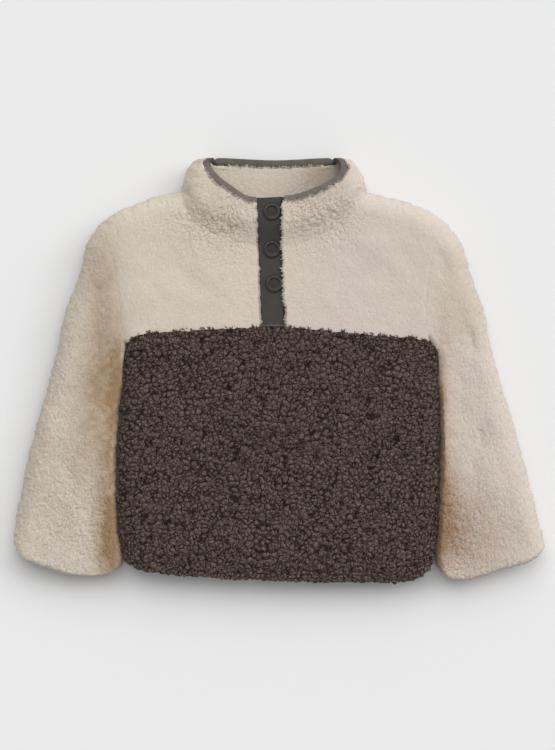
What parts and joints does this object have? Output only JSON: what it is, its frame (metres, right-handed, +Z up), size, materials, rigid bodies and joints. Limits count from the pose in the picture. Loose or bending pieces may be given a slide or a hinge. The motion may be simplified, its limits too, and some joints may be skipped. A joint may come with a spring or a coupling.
{
  "type": "sherpa fleece pullover",
  "caption": "Toddler's sherpa fleece pullover laid flat, cream yoke, collar and sleeves over a dark body block, snap placket, bound stand collar.",
  "frame": {"origin": "centre of the bounding box in X and Y, on the surface the garment rests on", "axes": "+Z up from the surface, +Y from the hem towards the collar, +X to the right seen from above with the collar away from the viewer"},
  "size_m": [0.5067, 0.4077, 0.0398],
  "materials": {
    "cream_sherpa": "curly sherpa pile on a knit ground, matt",
    "brown_sherpa": "curly sherpa pile on a knit ground, matt",
    "taupe_binding": "fine ribbed bias tape, matt",
    "placket_cloth": "close woven cloth, matt",
    "snap_cap": "dark satin coating, dished centre"
  },
  "bodies": {
    "root": {"front_lower": "brown_sherpa", "back_lower": "brown_sherpa", "front_upper_left": "cream_sherpa", "front_upper_right": "cream_sherpa", "back_upper": "cream_sherpa", "sleeve_left": "cream_sherpa", "sleeve_right": "cream_sherpa", "collar_outer": "cream_sherpa", "collar_inner": "cream_sherpa", "collar_binding": "taupe_binding", "placket_top": "placket_cloth", "placket_under": "placket_cloth", "snap_1": "snap_cap", "snap_2": "snap_cap", "snap_3": "snap_cap"}
  },
  "joints": []
}
